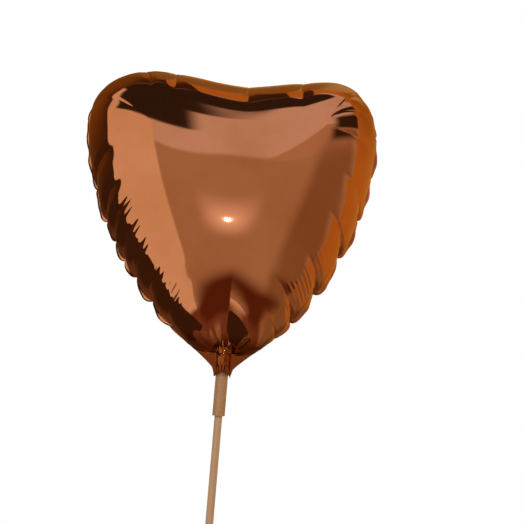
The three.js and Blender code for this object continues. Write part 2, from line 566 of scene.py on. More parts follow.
@dataclass
class Puckers:
    """Creases that gather the film's spare length along the seal, and the pillows between them.

    A filled foil balloon keeps the flat film's whole edge length on a shorter line, so the film
    stands in pillows along the seal with a sharp crease from each to the next. The creases lean
    up towards the lobes, and each pillow ends at a fold where the taut middle begins.

    Attributes:
        outline: the seal line, evenly spaced.
        heart_height: the heart's height.
        seed: starts the random draws of every crease.
        side_pitch: usual distance from crease to crease along the lower sides.
        lobe_pitch: the same along the lobes.
        side_scallop: how far a pillow swells along the lower sides.
        lobe_scallop: the same along the lobes.
        crease_depth: usual depth of a crease.
        crease_width: its width at the seal.
        twin_offset: distance from a crease to the fainter one beside it.
        twin_share: the fainter one's depth, as a share.
        crease_lean: how far a crease leans along the seal for each millimetre from it.
        fold_height: height of the fold where the taut middle begins.
        fold_run: how far the fold takes to die away.
        fold_near: the fold's least distance along the film from the seal.
        fold_far: its greatest.
        wrinkle_pitch: distance between the long wrinkles round the lobes.
        wrinkle_depth: their height.
        seal_wave: how far the seal stands out of its plane at a crease.
    """

    outline: np.ndarray
    heart_height: float
    seed: int = 4140
    side_pitch: float = 21.0
    lobe_pitch: float = 36.0
    side_scallop: float = 2.7
    lobe_scallop: float = 0.6
    crease_depth: float = 1.35
    crease_width: float = 0.85
    twin_offset: float = 3.4
    twin_share: float = 0.4
    crease_lean: float = 0.42
    fold_height: float = 1.5
    fold_run: float = 24.0
    fold_near: float = 34.0
    fold_far: float = 41.0
    wrinkle_pitch: float = 6.2
    wrinkle_depth: float = 0.16
    seal_wave: float = 1.0
    places: np.ndarray = field(init=False)
    depths: np.ndarray = field(init=False)
    folds: np.ndarray = field(init=False)

    def __post_init__(self) -> None:
        """Lays out the creases round the seal line."""
        rng = np.random.default_rng(self.seed)
        self.spacing = np.linalg.norm(self.outline[1] - self.outline[0])
        self.length = self.spacing * len(self.outline)
        places, at = [], 0.5 * self.side_pitch
        while at < self.length - 0.4 * self.side_pitch:
            places.append(at)
            at += self.pitch(self.lobe_share(np.array([at]))[0]) * rng.uniform(0.55, 1.45)
        self.places = np.array(places)
        self.depths = rng.uniform(0.5, 1.25, len(places))
        self.folds = rng.uniform(self.fold_near, self.fold_far, len(places))

    def pitch(self, lobes: np.ndarray | float) -> np.ndarray | float:
        """Usual distance from crease to crease, where lobes is 0 on the sides and 1 on the lobes."""
        return self.side_pitch + (self.lobe_pitch - self.side_pitch) * lobes

    def lobe_share(self, at: np.ndarray) -> np.ndarray:
        """0 along the lower sides, 1 along the lobes and the notch."""
        height = np.interp(at, np.arange(len(self.outline)) * self.spacing, self.outline[:, 1])
        return smooth(height, 0.36 * self.heart_height, 0.66 * self.heart_height)

    def upward(self, at: np.ndarray) -> np.ndarray:
        """1 where the seal line runs up the right side, -1 where it comes down the left."""
        return np.sin(2 * np.pi * at / self.length)

    def between(self, at: np.ndarray) -> tuple[np.ndarray, np.ndarray, np.ndarray]:
        """Which two creases a place lies between.

        Args:
            at: places along the seal line.

        Returns:
            The number of the crease before, the share of the way to the next, and the gap.
        """
        ring = np.concatenate([self.places, [self.places[0] + self.length]])
        wrapped = (at - self.places[0]) % self.length + self.places[0]
        before = np.clip(np.searchsorted(ring, wrapped, side="right") - 1, 0, len(self.places) - 1)
        gap = ring[before + 1] - ring[before]
        return before, (wrapped - ring[before]) / gap, gap

    def rise(self, at: np.ndarray, edge_distance: np.ndarray) -> np.ndarray:
        """How far the film stands out from the smooth heart.

        Args:
            at: nearest place on the seal line.
            edge_distance: distance along the film from the seal.

        Returns:
            Millimetres along the film's normal.
        """
        reach = np.minimum(edge_distance, 45.0)
        before, share, gap = self.between(at - self.crease_lean * self.upward(at) * reach)
        count = len(self.places)
        lobes = self.lobe_share(at)
        near_tail = np.minimum(at, self.length - at)
        short = 0.72 + 0.28 * smooth(near_tail, 20.0, 75.0)
        hang = share ** np.exp(-0.5 * self.upward(at))
        pillow = 1 - np.abs(2 * hang - 1) ** 2.6
        scallop = self.side_scallop + (self.lobe_scallop - self.side_scallop) * lobes
        size = scallop * (gap / self.pitch(lobes)) ** 0.7
        rise = size * (pillow - 0.5) * (1 - smooth(edge_distance, 1.0, self.fold_near))
        folds = self.folds[before] * (1 - share) + self.folds[(before + 1) % count] * share
        fold = folds * short * (0.86 + 0.18 * pillow)
        climb = np.clip(edge_distance / fold, 0.0, 1.0) ** 1.4
        beyond = np.clip(1 - (edge_distance - fold) / self.fold_run, 0.0, 1.0) ** 2
        rise += self.fold_height * climb * beyond * (0.55 + 0.45 * pillow) * (1 - 0.35 * lobes)
        for crease, off in ((before, share * gap), ((before + 1) % count, (1 - share) * gap)):
            run = self.folds[crease] * short
            fade = 1 - smooth(edge_distance, 0.75 * run, 1.1 * run)
            width = self.crease_width * (1 + edge_distance / 40.0)
            depth = self.crease_depth * self.depths[crease] * (1 - 0.5 * lobes)
            twin = self.twin_share * np.exp(-np.abs(off - self.twin_offset) / width)
            rise -= depth * fade * (np.exp(-off / width) + twin * smooth(edge_distance, 3.0, 12.0))
        return rise + self.long_wrinkles(at, edge_distance) * lobes

    def long_wrinkles(self, at: np.ndarray, edge_distance: np.ndarray) -> np.ndarray:
        """Thin wrinkles that run round the lobes beside the seal.

        Args:
            at: nearest place on the seal line.
            edge_distance: distance along the film from the seal.

        Returns:
            Millimetres along the film's normal.
        """
        rng = np.random.default_rng(self.seed)
        drift = 5.0 * wander(at, self.length, 85.0, rng)
        patch = smooth(wander(at, self.length, 60.0, rng), -0.5, 0.5)
        crest = np.abs(np.sin(np.pi * (edge_distance + drift) / self.wrinkle_pitch)) ** 0.7
        inside = smooth(edge_distance, 3.0, 9.0) * (1 - smooth(edge_distance, 24.0, 36.0))
        return self.wrinkle_depth * crest * patch * inside

    def seal_shift(self, at: np.ndarray) -> np.ndarray:
        """How far the seal stands out of its plane, to and fro from crease to crease.

        Args:
            at: places along the seal line.

        Returns:
            Millimetres, more than 0 where it stands towards the back.
        """
        before, share, gap = self.between(at)
        way = np.where(before % 2 == 0, 1.0, -1.0)
        return self.seal_wave * way * np.cos(np.pi * share) * np.minimum(1.0, gap / self.side_pitch)


@dataclass(frozen=True)
class Comb:
    """A patch of fine parallel ripples that the film's spare length leaves along the fold.

    Attributes:
        start: where it begins, as a share of the seal line from the bottom, anticlockwise.
        end: where it ends.
        middle: its middle's distance along the film from the seal, in millimetres.
        half: half its length across the fold.
        pitch: millimetres from one ripple to the next.
        depth: height of the ripples.
    """

    start: float
    end: float
    middle: float
    half: float
    pitch: float
    depth: float

    def rise(
        self, at: np.ndarray, edge_distance: np.ndarray, length: float, lean: np.ndarray
    ) -> np.ndarray:
        """Height of the ripples.

        Args:
            at: nearest place on the seal line.
            edge_distance: distance along the film from the seal.
            length: the seal line's length.
            lean: how far the ripples lean along the seal for each millimetre from it.

        Returns:
            Millimetres along the film's normal.
        """
        place = at - lean * edge_distance
        share = place / length
        edge = 0.006
        along = smooth(share, self.start, self.start + edge)
        along *= 1 - smooth(share, self.end - edge, self.end)
        uneven = 0.9 * np.sin(place / 5.3) + 0.6 * np.sin(place / 3.1 + 1.0)
        crest = np.abs(((place + 0.35 * uneven) / self.pitch) % 1.0 * 2 - 1)
        sway = 1.8 * np.sin(place / 6.7) + 1.2 * np.sin(place / 2.9 + 2.0)
        across = np.clip(1 - np.abs(edge_distance - self.middle - sway) / self.half, 0, 1)
        return self.depth * along * (0.5 - crest**1.4) * smooth(across, 0.0, 0.6)


FRONT_COMBS = (
    Comb(start=0.086, end=0.121, middle=29.0, half=13.0, pitch=3.1, depth=0.62),
    Comb(start=0.126, end=0.140, middle=36.0, half=6.0, pitch=3.3, depth=0.3),
    Comb(start=0.826, end=0.889, middle=41.0, half=8.5, pitch=3.9, depth=0.5),
    Comb(start=0.896, end=0.942, middle=38.5, half=7.0, pitch=3.7, depth=0.4),
)
BACK_COMBS = (
    Comb(start=0.080, end=0.150, middle=32.0, half=8.0, pitch=3.4, depth=0.4),
    Comb(start=0.190, end=0.240, middle=36.0, half=8.0, pitch=3.6, depth=0.3),
    Comb(start=0.820, end=0.900, middle=33.0, half=9.0, pitch=3.3, depth=0.42),
)


# ------------------------------------------------------------------ the films


@dataclass
class FilledHeart:
    """The smooth filled heart that both films start from, before they pucker.

    Attributes:
        outline_shape: draws the seal line.
        around: points round the seal line.
        dense_step: film distance from ring to ring beside the seal.
        dense_rings: how many such rings.
        middle_step: the same for the next rings, of half as many points.
        middle_rings: how many such rings.
        inner_step: the same for the last rings, of a quarter as many points.
        inner_rings: how many such rings.
        square: cells along a side of the grid that fills the middle.
        usual_radius: filled radius for which the rings are spaced.
        neck_radius: how far round the neck the heart tapers.
    """

    outline_shape: HeartOutline
    around: int = 960
    dense_step: float = 1.35
    dense_rings: int = 40
    middle_step: float = 2.0
    middle_rings: int = 11
    inner_step: float = 3.0
    inner_rings: int = 9
    square: int = 60
    usual_radius: float = 80.0
    neck_radius: float = 30.0

    def __post_init__(self) -> None:
        """Samples the outline and fills it."""
        self.outline = self.outline_shape.sample(self.around)
        self.centre = self.outline_shape.centre
        self.profile = FilledProfile()
        self.spacing = float(np.linalg.norm(self.outline[1] - self.outline[0]))
        turn = np.roll(self.outline, -1, axis=0) - np.roll(self.outline, 1, axis=0)
        turn /= np.linalg.norm(turn, axis=1)[:, None]
        self.outward = np.stack([turn[:, 1], -turn[:, 0]], axis=1)
        self.plane, self.faces, self.seal = self.on_plane()
        self.fill()

    def fill(self) -> None:
        """Works out each vertex's height over the seal plane and its place along the seal."""
        room, at = fullness(self.plane[self.around :], self.outline)
        room = np.concatenate([np.zeros(self.around), room])
        self.at = np.concatenate([np.arange(self.around) * self.spacing, at])
        radius = 2 * room.max()
        share = np.sqrt(np.clip(1 - room / room.max(), 0, 1))
        self.edge_distance = radius * self.profile.edge_distance_at(share)
        self.from_neck = np.hypot(self.plane[:, 0], self.plane[:, 1] + 2.0)
        taper = np.sqrt(self.from_neck**2 / (self.from_neck**2 + self.neck_radius**2))
        self.height = radius * self.profile.height_at(share) * taper

    def ring_shares(self) -> tuple[list[float], list[int]]:
        """Lists the rings from the seal inwards.

        Returns:
            Each ring's share of the radius, and its number of points.
        """
        distances = [self.dense_step * i for i in range(self.dense_rings)]
        counts = [self.around] * self.dense_rings
        for step, rings, count in (
            (self.middle_step, self.middle_rings, self.around // 2),
            (self.inner_step, self.inner_rings, self.around // 4),
        ):
            for _ in range(rings):
                distances.append(distances[-1] + step)
                counts.append(count)
        shares = self.profile.share_at(np.array(distances) / self.usual_radius)
        return list(shares), counts

    def on_plane(self) -> tuple[np.ndarray, list, np.ndarray]:
        """Lays the heart's vertices in the seal plane.

        Returns:
            Rows of x and height, the faces, and the numbers of the outermost ring.
        """
        shares, counts = self.ring_shares()
        points, faces, rings = [], [], []
        start = 0
        for share, count in zip(shares, counts):
            edge = self.outline[:: self.around // count]
            points.append(self.centre + share * (edge - self.centre))
            rings.append(start + np.arange(count))
            start += count
        for outer, inner in zip(rings, rings[1:]):
            faces += self.join(outer, inner)
        grid, grid_points = self.inner_square(rings[-1], shares[-1], start)
        points.append(grid_points)
        faces += [
            (grid[r, c], grid[r, c + 1], grid[r + 1, c + 1], grid[r + 1, c])
            for r in range(self.square)
            for c in range(self.square)
        ]
        return np.concatenate(points), faces, rings[0]

    @staticmethod
    def join(outer: np.ndarray, inner: np.ndarray) -> list:
        """Fills the band between two rings.

        Args:
            outer: vertex numbers of the outer ring.
            inner: those of the inner one, which has as many points or half as many.

        Returns:
            The faces.
        """
        count = len(inner)
        if len(outer) == count:
            a, b = np.roll(outer, -1), np.roll(inner, -1)
            return list(zip(outer, a, b, inner))
        faces = []
        for k in range(count):
            a0, a1, a2 = outer[2 * k], outer[2 * k + 1], outer[(2 * k + 2) % len(outer)]
            b0, b1 = inner[k], inner[(k + 1) % count]
            faces += [(a0, a1, b0), (a1, b1, b0), (a1, a2, b1)]
        return faces

    def inner_square(self, ring: np.ndarray, share: float, start: int) -> tuple[np.ndarray, np.ndarray]:
        """Fills the innermost ring with a square grid, so that nothing pinches at the middle.

        Args:
            ring: vertex numbers of the innermost ring, which the grid's rim takes over.
            share: that ring's share of the radius.
            start: the first free vertex number.

        Returns:
            The vertex number of each grid corner, and the points of the new ones.
        """
        n = self.square
        row, column = np.meshgrid(np.arange(n + 1), np.arange(n + 1), indexing="ij")
        a, b = column / (n / 2) - 1, row / (n / 2) - 1
        level = np.maximum(np.abs(a), np.abs(b))
        safe = np.maximum(level, 1e-9)
        turn = np.select(
            [(b <= -level + 1e-9), (a >= level - 1e-9), (b >= level - 1e-9)],
            [a / (8 * safe), 0.25 + b / (8 * safe), 0.5 - a / (8 * safe)],
            0.75 - b / (8 * safe),
        ) % 1.0
        at = turn * self.around
        ends = np.append(self.outline, self.outline[:1], axis=0)
        numbers = np.arange(self.around + 1)
        edge = np.stack([np.interp(at, numbers, ends[:, k]) for k in (0, 1)], axis=-1)
        points = self.centre + (share * level)[..., None] * (edge - self.centre)
        rim = level > 1 - 1e-9
        grid = np.zeros((n + 1, n + 1), int)
        grid[rim] = ring[np.rint(turn[rim] * len(ring)).astype(int) % len(ring)]
        grid[~rim] = start + np.arange(np.sum(~rim))
        return grid, points[~rim]


@dataclass
class FoilFilm:
    """One film of the balloon: the filled heart, its sealed edge and its half of the tail.

    Both films are shaped as the front one, and the back one's depths are mirrored at the end.

    Attributes:
        side: which film.
        shape: the smooth filled heart.
        body_bottom: height of the heart's lower end above the stick's.
        mouth: height of the tail's open end.
        sleeve_radius: outer radius of the sleeve that the tail wraps.
        film: thickness, more than the real 0.03, which is too thin to show.
        hip_x: how far out the heart's side turns into its bottom.
        gathered_half_width: half width of the tail where it hugs the sleeve.
        funnel_start: height above the mouth where the tail begins to spread.
        tail_rows: rows of vertices down the tail.
        flange_rows: rows of vertices across the sealed edge.
        flange_lean: how far the sealed edge is bent back, in degrees.
        lean: how far the heart leans to the left, in degrees.
        bow: how far its middle bows to the left.
        slack_and_shade_run: height over which the slack film above the tail grows taut, and over which its
            painted shade fades.
    """

    side: Side
    shape: FilledHeart
    body_bottom: float
    mouth: float
    sleeve_radius: float
    film: float = 0.14
    hip_x: float = 23.1
    gathered_half_width: float = 5.0
    funnel_start: float = 5.5
    tail_rows: int = 34
    flange_rows: int = 4
    flange_lean: float = 46.0
    lean: float = 1.4
    bow: float = 2.4
    slack_and_shade_run: float = 9.0

    def __post_init__(self) -> None:
        """Lays out the puckers and finds the hips, between which the tail hangs."""
        self.puckers = Puckers(self.shape.outline, self.shape.outline_shape.height)
        lower = self.shape.outline[:, 1] < 0.3 * self.shape.outline_shape.height
        across = self.shape.outline[:, 0]
        self.hip = int(np.sum(lower & (across >= 0) & (across <= self.hip_x)))

    @property
    def backwards(self) -> float:
        """The balloon's way back before the mirroring: 1 for the front film, -1 for the back one."""
        return -self.side.value

    def tube_depth(self, x: np.ndarray) -> np.ndarray:
        """Depth of the tail where it wraps the sleeve, in front of the seal plane."""
        radius = self.sleeve_radius + 0.5
        return np.sqrt(np.maximum(radius**2 - x**2, 0.0))

    def neck_pleats(self, plane: np.ndarray) -> np.ndarray:
        """Pleats that fan out from the neck into the heart, round with a sharp valley between.

        Args:
            plane: rows of x and height.

        Returns:
            Millimetres along the film's normal.
        """
        way = plane - np.array([0.0, -10.0])
        reach = np.hypot(way[:, 0], way[:, 1])
        angle = np.degrees(np.arctan2(way[:, 0], way[:, 1]))
        broad = 1.5 * np.abs(np.sin(np.radians(angle * 3.3 - 12.0))) * (reach / 25.0)
        fine = 0.6 * np.abs(np.sin(np.radians(angle * 11.0 + 75.0)))
        rising = smooth(reach, 8.0, 14.0)
        pleats = broad * (1 - smooth(reach, 22.0, 62.0)) + fine * (1 - smooth(reach, 14.0, 27.0))
        return rising * pleats * (1 - smooth(np.abs(angle), 24.0, 58.0))

    def heart(self) -> tuple[np.ndarray, list, np.ndarray]:
        """Shapes the heart.

        Returns:
            Its points, its faces and the numbers of the seal's vertices.
        """
        plane, faces, seal = self.shape.plane, self.shape.faces, self.shape.seal
        at, edge_distance, neck = self.shape.at, self.shape.edge_distance, self.shape.from_neck
        tube = self.tube_depth(plane[:, 0]) * (1 - smooth(neck, 4.0, 24.0))
        depth = np.sqrt(self.shape.height**2 + tube**2)
        points = np.stack([plane[:, 0], -depth, plane[:, 1]], axis=1)
        normals = vertex_normals(points, faces)
        normals[seal, 1] = 0
        normals[seal] /= np.linalg.norm(normals[seal], axis=1)[:, None]
        clear_of_neck = smooth(neck, 24.0, 52.0)
        rise = self.puckers.rise(at, edge_distance) * clear_of_neck
        lean = self.puckers.crease_lean * self.puckers.upward(at)
        for comb in FRONT_COMBS if self.side is Side.FRONT else BACK_COMBS:
            rise += comb.rise(at, edge_distance, self.puckers.length, lean) * clear_of_neck
        rise += self.neck_pleats(plane) * smooth(edge_distance, 0.5, 8.0)
        points += normals * rise[:, None]
        shift = self.puckers.seal_shift(at) * clear_of_neck * np.exp(-edge_distance / 12.0)
        points[:, 1] += shift * self.backwards
        return points, faces, seal

    def flange(self, points: np.ndarray, seal: np.ndarray, start: int) -> tuple[np.ndarray, list]:
        """The flat heat-sealed edge outside the seal line, bent to and fro by the puckers.

        Args:
            points: the heart's points.
            seal: the seal's vertex numbers.
            start: the first free vertex number.

        Returns:
            The new points and faces.
        """
        run = seal[self.hip : self.shape.around - self.hip + 1]
        at = run * self.shape.spacing
        height = points[run, 2]
        width = FLANGE_WIDTH * smooth(height, 2.0, 16.0) + 0.25
        rng = np.random.default_rng(5)
        lean = np.radians(self.flange_lean + 16.0 * wander(at, self.puckers.length, 24.0, rng))
        width = width * (1 + 0.06 * wander(at, self.puckers.length, 14.0, rng))
        outward = self.shape.outward[run]
        rows = []
        for k in range(1, self.flange_rows + 1):
            out = width * k / self.flange_rows
            bend = lean * (0.4 + 0.6 * k / self.flange_rows)
            row = points[run].copy()
            row[:, [0, 2]] += outward * (out * np.cos(bend))[:, None]
            row[:, 1] += out * np.sin(bend) * self.backwards
            rows.append(row)
        faces = []
        last = run
        for k in range(self.flange_rows):
            numbers = start + k * len(run) + np.arange(len(run))
            faces += list(zip(numbers[:-1], numbers[1:], last[1:], last[:-1]))
            last = numbers
        return np.concatenate(rows), faces

    def tail(self, points: np.ndarray, seal: np.ndarray, start: int) -> tuple[np.ndarray, list]:
        """The tail: flat webs that narrow to the sleeve, gathered round it down to the mouth.

        Args:
            points: the heart's points.
            seal: the seal's vertex numbers.
            start: the first free vertex number.

        Returns:
            The new points and faces.
        """
        run = np.concatenate([seal[-self.hip :], seal[: self.hip + 1]])
        top = points[run]
        side = top[:, 0] / top[-1, 0]  # -1 at the left edge, 1 at the right
        hip_x, hip_height = top[-1, 0], top[-1, 2]
        mouth = self.mouth - self.body_bottom
        rows = []
        for k in range(1, self.tail_rows + 1):
            share = k / self.tail_rows
            end = mouth + 3.0 * (1 - side**2) + 0.5 * np.sin(side * 17.0)
            z = top[:, 2] + (end - top[:, 2]) * share
            above_mouth = (hip_height - mouth) * (1 - share)
            spread = (above_mouth - self.funnel_start) / (hip_height - mouth - self.funnel_start)
            gathered = self.gathered_half_width + 0.32 * min(above_mouth, self.funnel_start)
            half = gathered + (hip_x - gathered) * max(spread, 0.0) ** 1.12
            flare = 0.35 * smooth(share, 0.9, 1.0)
            x = side * (half + flare)
            depth = self.tube_depth(x / (1 + 0.12 * flare)) * (1 + 0.12 * flare)
            depth += self.crumple(side, share) * smooth(depth, 0.4, 3.0)
            rows.append(np.stack([x, -depth + self.web(x, side, share) * self.backwards, z], axis=1))
        faces = []
        last = run
        for k in range(self.tail_rows):
            numbers = start + k * len(run) + np.arange(len(run))
            faces += list(zip(numbers[:-1], numbers[1:], last[1:], last[:-1]))
            last = numbers
        return np.concatenate(rows), faces

    @staticmethod
    def crumple(side: np.ndarray, share: float) -> np.ndarray:
        """Gathers of the tail round the sleeve.

        Args:
            side: place across the tail, from -1 to 1.
            share: how far down the tail, from 0 to 1.

        Returns:
            Millimetres outwards.
        """
        broad = np.abs(np.sin(side * 10.0 + 1.2)) ** 0.6
        fine = 0.5 * np.abs(np.sin(side * 21.0 + 3.0 * share))
        return 1.25 * (broad + fine) * (1 - 0.4 * np.sin(3 * share))

    @staticmethod
    def web(x: np.ndarray, side: np.ndarray, share: float) -> np.ndarray:
        """Sweep and wave of the flat webs beside the sleeve.

        Args:
            x: distance across from the sleeve's middle.
            side: place across the tail, from -1 to 1.
            share: how far down the tail, from 0 to 1.

        Returns:
            Millimetres towards the balloon's back.
        """
        swept = 0.17 * np.maximum(np.abs(x) - 4.5, 0.0) * smooth(share, 0.0, 0.14)
        wave = 0.15 * np.sin(side * 6.0 + share * 3.0)
        return swept + wave * smooth(np.abs(x), 6.0, 12.0) * smooth(share, 0.0, 0.2)

    def build(self, finish: bpy.types.Material) -> bpy.types.Object:
        """Makes the whole film.

        Args:
            finish: its material.

        Returns:
            The film, closed and with its thickness.
        """
        points, faces, seal = self.heart()
        flange_points, flange_faces = self.flange(points, seal, len(points))
        points = np.concatenate([points, flange_points])
        tail_points, tail_faces = self.tail(points, seal, len(points))
        points = np.concatenate([points, tail_points])
        faces = faces + flange_faces + tail_faces
        # 1 in the tail, fading to 0 above it: there the film is dulled, and darkened with painted shade
        slack = 1 - smooth(points[:, 2], 0.0, self.slack_and_shade_run)
        points[:, 1] -= 0.02
        up = np.clip(points[:, 2] / self.shape.outline_shape.height, 0.0, 1.0)
        points[:, 0] -= math.tan(math.radians(self.lean)) * np.maximum(points[:, 2], 0.0)
        points[:, 0] -= self.bow * np.sin(np.pi * up)
        points[:, 2] += self.body_bottom
        if self.side is Side.BACK:
            points[:, 1] *= -1
            faces = [face[::-1] for face in faces]
        faces = [tuple(int(i) for i in face) for face in faces]
        name = "front_film" if self.side is Side.FRONT else "back_film"
        film = mesh_object(name, points, faces, finish)
        film.data.attributes.new(SLACK_AND_SHADE, "FLOAT", "POINT").data.foreach_set("value", slack)
        thicken = film.modifiers.new("film_thickness", "SOLIDIFY")
        thicken.thickness = self.film * MM
        thicken.offset = 1.0
        return film


@dataclass
class Balloon:
    """The two films, heat-sealed to each other, and the filling valve between them.

    Attributes:
        finish: the films' finish.
        valve_finish: the valve's finish.
    """

    finish: MetallisedFilm = field(default_factory=MetallisedFilm)
    valve_finish: ValveFilm = field(default_factory=ValveFilm)

    def build(self) -> list[bpy.types.Object]:
        """Makes the films and dresses the valve.

        Returns:
            The two films.
        """
        low, high = (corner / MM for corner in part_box("front_foil"))
        tail_low, tail_high = (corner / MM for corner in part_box("front_tail"))
        sleeve_low, sleeve_high = (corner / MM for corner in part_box("sleeve"))
        outline = HeartOutline(
            half_width=(high.x - low.x) / 2 - FLANGE_WIDTH,
            height=high.z - low.z - FLANGE_WIDTH,
        )
        heart = FilledHeart(outline)
        material = self.finish.make()
        made = []
        for side, foil, tail in (
            (Side.FRONT, "front_foil", "front_tail"),
            (Side.BACK, "back_foil", "back_tail"),
        ):
            film = FoilFilm(side, heart, low.z, tail_low.z, (sleeve_high.x - sleeve_low.x) / 2)
            obj = film.build(material)
            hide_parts(foil, tail)
            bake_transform(obj)
            made.append(obj)
        valve = self.valve_finish.make()
        for node in ("valve_front_film", "valve_back_film"):
            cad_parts[node].data.materials.clear()
            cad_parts[node].data.materials.append(valve)
        return made


# ------------------------------------------------------------------ stick and sleeve


@dataclass
class Tube:
    """A plastic tube about the Z axis, with rounded rims.

    Attributes:
        name: the object's name.
        outer: outer radius.
        inner: bore radius.
        bottom: height of its lower end.
        top: height of its upper end.
        rim: radius of the rounding at its ends.
        sides: vertices round it.
        ring_step: distance from ring to ring along it.
    """

    name: str
    outer: float
    inner: float
    bottom: float
    top: float
    rim: float
    sides: int = 96
    ring_step: float = 6.0

    def build(self, material: bpy.types.Material) -> bpy.types.Object:
        """Makes the tube.

        Args:
            material: its finish.

        Returns:
            The tube as a closed mesh.
        """
        corner = [math.radians(a) for a in range(0, 91, 15)]
        rings = max(2, round((self.top - self.bottom) / self.ring_step))
        radius, low, high = self.outer - self.rim, self.bottom + self.rim, self.top - self.rim
        run = np.linspace(low, high, rings)[1:-1]
        profile = [(radius + self.rim * math.sin(a), low - self.rim * math.cos(a)) for a in corner]
        profile += [(self.outer, z) for z in run]
        profile += [(radius + self.rim * math.cos(a), high + self.rim * math.sin(a)) for a in corner]
        profile += [(self.inner, self.top)]
        profile += [(self.inner, z) for z in run[::-1]]
        profile += [(self.inner, self.bottom)]
        count = len(profile)
        points, faces = [], []
        for i in range(self.sides):
            angle = 2 * math.pi * i / self.sides
            points += [(r * math.cos(angle), r * math.sin(angle), z) for r, z in profile]
            after = (i + 1) % self.sides
            for j in range(count):
                k = (j + 1) % count
                faces.append((i * count + j, after * count + j, after * count + k, i * count + k))
        return mesh_object(self.name, np.array(points), faces, material)


@dataclass
class Handle:
    """The stick and the sleeve that is pushed onto it.

    Attributes:
        stick_bore: radius of the stick's bore.
        stick_rim: rounding of its cut ends.
        sleeve_bore: radius of the sleeve's bore.
        sleeve_rim: rounding of its ends.
        stick_finish: the stick's finish.
        sleeve_finish: the sleeve's finish.
    """

    stick_bore: float = 2.0
    stick_rim: float = 0.18
    sleeve_bore: float = 2.8
    sleeve_rim: float = 0.45
    stick_finish: ExtrudedTube = ExtrudedTube(
        "extruded_polypropylene_stick", "#B59370", "#A4815C", 0.38, 0.9, subsurface=0.15
    )
    sleeve_finish: ExtrudedTube = ExtrudedTube(
        "extruded_ldpe_sleeve", "#CDA274", "#BB8F60", 0.24, 1.6, transmission=0.45
    )

    def build(self) -> list[bpy.types.Object]:
        """Makes the stick and the sleeve.

        Returns:
            The two tubes.
        """
        made = []
        for node, bore, rim, finish, slot in (
            ("stick", self.stick_bore, self.stick_rim, self.stick_finish, "stick_plastic"),
            ("sleeve", self.sleeve_bore, self.sleeve_rim, self.sleeve_finish, "sleeve_plastic"),
        ):
            low, high = (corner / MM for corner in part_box(node))
            tube = Tube(f"{node}_tube", (high.x - low.x) / 2, bore, low.z, high.z, rim)
            obj = tube.build(finish.make())
            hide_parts(node)
            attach(obj, node)
            made.append(obj)
        return made


# ------------------------------------------------------------------ studio


@dataclass(frozen=True)
class Card:
    """A soft patch of light or shade in the studio, seen only in reflections.

    Attributes:
        name: its tone and where it lies.
        azimuth: degrees to the right of the camera's own direction from the balloon.
        elevation: degrees above the horizon.
        width: half angle across at which it is half gone, in degrees.
        height: half angle up and down, in degrees.
        softness: how wide its edge is, as a share of its size.
        colour: sRGB hex.
        lean: how far its middle moves in azimuth for each degree of elevation.
    """

    name: str
    azimuth: float
    elevation: float
    width: float
    height: float
    softness: float
    colour: str
    lean: float = 0.0


CARDS = (
    Card("pale_top", 0, 62, 95, 45, 0.03, "#D6C3B7", lean=0.12),
    Card("edge_of_pale_top", 32, 25, 50, 9, 0.03, "#BD9C7D", lean=1.5),
    Card("low_shade", 0, -86, 180, 17, 0.3, "#7A4B34"),
    Card("pale_left_strip", -60, 10, 30, 80, 0.04, "#E7CEB1"),
    Card("right_shade", 56, -14, 20, 34, 0.4, "#93704F"),
    Card("lower_right_shade", 30, -62, 46, 20, 0.4, "#5E3018"),
    Card("glow_round_highlight", -0.3, -5.5, 6, 6, 0.95, "#F7DCC8"),
    Card("right_lobe_shade", 68, 35, 24, 13, 0.25, "#3A2A1C"),
    Card("left_lobe_shade", -40, 46, 31, 13, 0.1, "#352A1E"),
    Card("left_top_band", -46, 74, 44, 18, 0.1, "#352A1E"),
    Card("middle_top_band", 0, 84, 60, 12.5, 0.08, "#352A1E"),
    Card("dark_spot_high_behind", 166, 72, 18, 9, 0.3, "#352A1E"),
    Card("dark_left_side", -130, 0, 49, 110, 0.03, "#3E2919", lean=-0.14),
    Card("left_rim_brown", -150, 38, 50, 32, 0.5, "#774915"),
    Card("amber_right_side", 132, 20, 50, 84, 0.04, "#BF8032", lean=0.1),
    Card("right_rim_amber", 140, 42, 40, 24, 0.5, "#A56A22"),
    Card("lower_right_rim_brown", 128, -46, 60, 20, 0.4, "#8F6F4B"),
    Card("low_shade_behind", 180, -48, 40, 38, 0.3, "#6A4526"),
    Card("amber_behind", 180, 56, 24, 16, 0.4, "#90662F"),
    Card("pale_spot_behind", 152, 56, 20, 18, 0.4, "#BA9B5D"),
)


@dataclass(frozen=True)
class SoftLight:
    """A round area light, aimed at the balloon.

    Attributes:
        name: the light's name.
        place: where it stands, in metres.
        size: its width, in metres.
        energy: its power, in watts.
        colour: sRGB hex.
        in_foil: whether the foil mirrors it.
    """

    name: str
    place: tuple[float, float, float]
    size: float
    energy: float
    colour: str
    in_foil: bool = False


